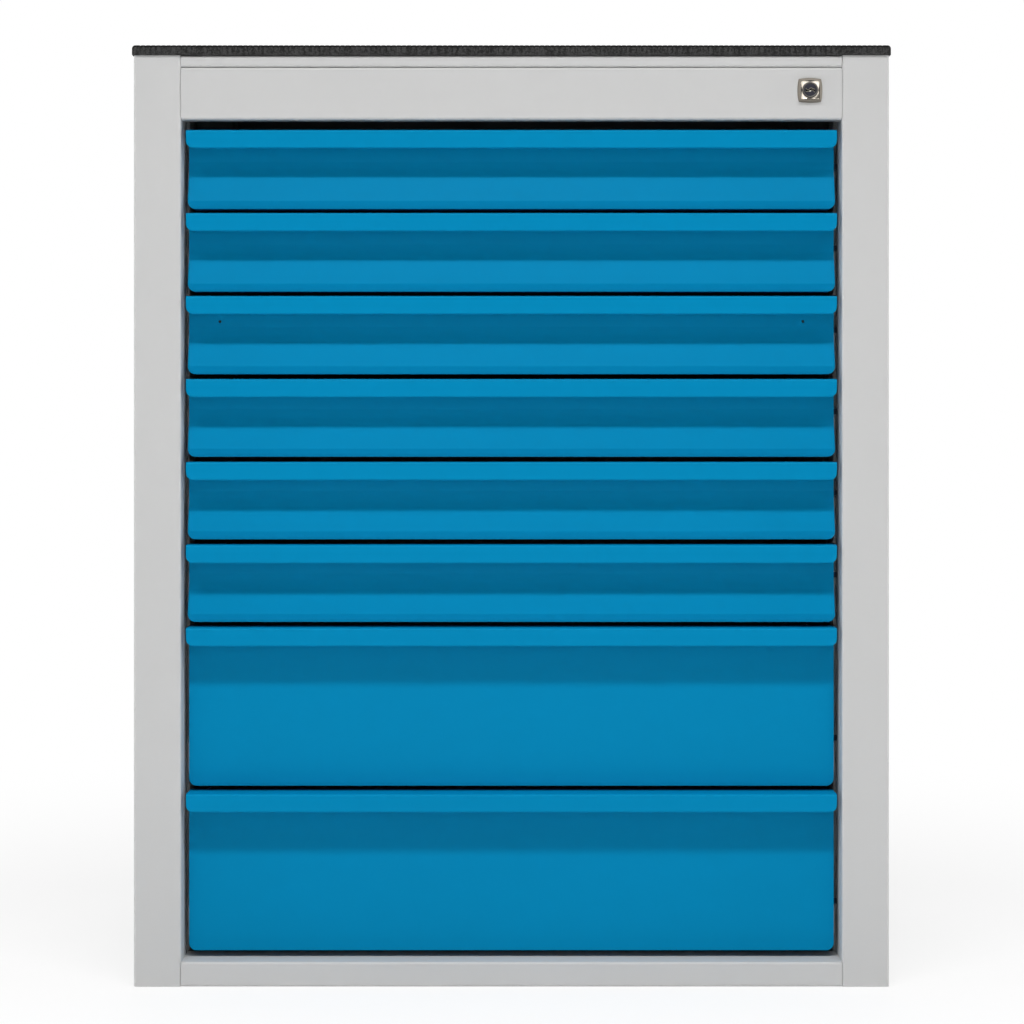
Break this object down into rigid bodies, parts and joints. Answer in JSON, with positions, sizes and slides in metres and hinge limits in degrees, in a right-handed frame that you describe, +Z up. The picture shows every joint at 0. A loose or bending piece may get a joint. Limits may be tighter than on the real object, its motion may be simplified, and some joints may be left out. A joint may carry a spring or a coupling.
{
  "type": "multi-drawer cabinet",
  "caption": "Floor-standing steel cabinet with a stack of pull-out drawers on telescopic runners, full-width gripping lips, a keyed central lock and a rubber-covered top.",
  "frame": {"origin": "middle of the footprint, on the floor", "axes": "+X to the right as the drawers are seen, +Y from the front to the back, +Z up"},
  "size_m": [0.8042, 0.6068, 0.9966],
  "materials": {
    "grey_paint": "powder coat",
    "blue_paint": "powder coat",
    "black_rubber": "ribbed",
    "zinc_steel": "zinc plated",
    "nickel": "polished",
    "gunmetal": "dark satin"
  },
  "bodies": {
    "cabinet": {"left_side_panel": "grey_paint", "right_side_panel": "grey_paint", "back_panel": "grey_paint", "top_panel": "grey_paint", "base_panel": "grey_paint", "header_fascia": "grey_paint", "bottom_rail": "grey_paint", "top_mat": "black_rubber", "left_runner_posts": "grey_paint", "right_runner_posts": "grey_paint", "left_outer_rails": "zinc_steel", "right_outer_rails": "zinc_steel", "lock_housing": "nickel", "lock_nut": "zinc_steel", "locking_bar_guides": "gunmetal"},
    "drawer_1": {"drawer_1_front": "blue_paint", "drawer_1_tray": "grey_paint", "drawer_1_inner_rails": "zinc_steel", "drawer_1_catch": "zinc_steel"},
    "runner_1": {"drawer_1_middle_rails": "zinc_steel"},
    "drawer_2": {"drawer_2_front": "blue_paint", "drawer_2_tray": "grey_paint", "drawer_2_inner_rails": "zinc_steel", "drawer_2_catch": "zinc_steel"},
    "runner_2": {"drawer_2_middle_rails": "zinc_steel"},
    "drawer_3": {"drawer_3_front": "blue_paint", "drawer_3_tray": "grey_paint", "drawer_3_inner_rails": "zinc_steel", "drawer_3_catch": "zinc_steel"},
    "runner_3": {"drawer_3_middle_rails": "zinc_steel"},
    "drawer_4": {"drawer_4_front": "blue_paint", "drawer_4_tray": "grey_paint", "drawer_4_inner_rails": "zinc_steel", "drawer_4_catch": "zinc_steel"},
    "runner_4": {"drawer_4_middle_rails": "zinc_steel"},
    "drawer_5": {"drawer_5_front": "blue_paint", "drawer_5_tray": "grey_paint", "drawer_5_inner_rails": "zinc_steel", "drawer_5_catch": "zinc_steel"},
    "runner_5": {"drawer_5_middle_rails": "zinc_steel"},
    "drawer_6": {"drawer_6_front": "blue_paint", "drawer_6_tray": "grey_paint", "drawer_6_inner_rails": "zinc_steel", "drawer_6_catch": "zinc_steel"},
    "runner_6": {"drawer_6_middle_rails": "zinc_steel"},
    "drawer_7": {"drawer_7_front": "blue_paint", "drawer_7_tray": "grey_paint", "drawer_7_inner_rails": "zinc_steel", "drawer_7_catch": "zinc_steel"},
    "runner_7": {"drawer_7_middle_rails": "zinc_steel"},
    "drawer_8": {"drawer_8_front": "blue_paint", "drawer_8_tray": "grey_paint", "drawer_8_inner_rails": "zinc_steel", "drawer_8_catch": "zinc_steel"},
    "runner_8": {"drawer_8_middle_rails": "zinc_steel"},
    "lock": {"lock_plug": "gunmetal", "lock_cam": "zinc_steel"},
    "locking_bar": {"locking_bar": "gunmetal", "locking_tabs": "gunmetal"}
  },
  "joints": [
    {"name": "drawer_1_slide", "type": "slide", "parent": "cabinet", "child": "drawer_1", "axis": [0, -1, 0], "range_m": [0, 0.48]},
    {"name": "runner_1_slide", "type": "slide", "parent": "cabinet", "child": "runner_1", "axis": [0, -1, 0], "range_m": [0, 0.24]},
    {"name": "drawer_2_slide", "type": "slide", "parent": "cabinet", "child": "drawer_2", "axis": [0, -1, 0], "range_m": [0, 0.48]},
    {"name": "runner_2_slide", "type": "slide", "parent": "cabinet", "child": "runner_2", "axis": [0, -1, 0], "range_m": [0, 0.24]},
    {"name": "drawer_3_slide", "type": "slide", "parent": "cabinet", "child": "drawer_3", "axis": [0, -1, 0], "range_m": [0, 0.48]},
    {"name": "runner_3_slide", "type": "slide", "parent": "cabinet", "child": "runner_3", "axis": [0, -1, 0], "range_m": [0, 0.24]},
    {"name": "drawer_4_slide", "type": "slide", "parent": "cabinet", "child": "drawer_4", "axis": [0, -1, 0], "range_m": [0, 0.48]},
    {"name": "runner_4_slide", "type": "slide", "parent": "cabinet", "child": "runner_4", "axis": [0, -1, 0], "range_m": [0, 0.24]},
    {"name": "drawer_5_slide", "type": "slide", "parent": "cabinet", "child": "drawer_5", "axis": [0, -1, 0], "range_m": [0, 0.48]},
    {"name": "runner_5_slide", "type": "slide", "parent": "cabinet", "child": "runner_5", "axis": [0, -1, 0], "range_m": [0, 0.24]},
    {"name": "drawer_6_slide", "type": "slide", "parent": "cabinet", "child": "drawer_6", "axis": [0, -1, 0], "range_m": [0, 0.48]},
    {"name": "runner_6_slide", "type": "slide", "parent": "cabinet", "child": "runner_6", "axis": [0, -1, 0], "range_m": [0, 0.24]},
    {"name": "drawer_7_slide", "type": "slide", "parent": "cabinet", "child": "drawer_7", "axis": [0, -1, 0], "range_m": [0, 0.48]},
    {"name": "runner_7_slide", "type": "slide", "parent": "cabinet", "child": "runner_7", "axis": [0, -1, 0], "range_m": [0, 0.24]},
    {"name": "drawer_8_slide", "type": "slide", "parent": "cabinet", "child": "drawer_8", "axis": [0, -1, 0], "range_m": [0, 0.48]},
    {"name": "runner_8_slide", "type": "slide", "parent": "cabinet", "child": "runner_8", "axis": [0, -1, 0], "range_m": [0, 0.24]},
    {"name": "lock_turn", "type": "hinge", "parent": "cabinet", "child": "lock", "pos_m": [0.316, -0.29865, 0.949], "axis": [0, 1, 0], "range_deg": [0, 90]},
    {"name": "locking_bar_slide", "type": "slide", "parent": "cabinet", "child": "locking_bar", "axis": [0, 0, 1], "range_m": [0, 0.0099]}
  ],
  "couplings": [
    {"joint": "runner_1_slide", "follows": "drawer_1_slide", "ratio": 0.5},
    {"joint": "runner_2_slide", "follows": "drawer_2_slide", "ratio": 0.5},
    {"joint": "runner_3_slide", "follows": "drawer_3_slide", "ratio": 0.5},
    {"joint": "runner_4_slide", "follows": "drawer_4_slide", "ratio": 0.5},
    {"joint": "runner_5_slide", "follows": "drawer_5_slide", "ratio": 0.5},
    {"joint": "runner_6_slide", "follows": "drawer_6_slide", "ratio": 0.5},
    {"joint": "runner_7_slide", "follows": "drawer_7_slide", "ratio": 0.5},
    {"joint": "runner_8_slide", "follows": "drawer_8_slide", "ratio": 0.5},
    {"joint": "lock_turn", "follows": "locking_bar_slide", "rad_per_m": 158.6}
  ]
}
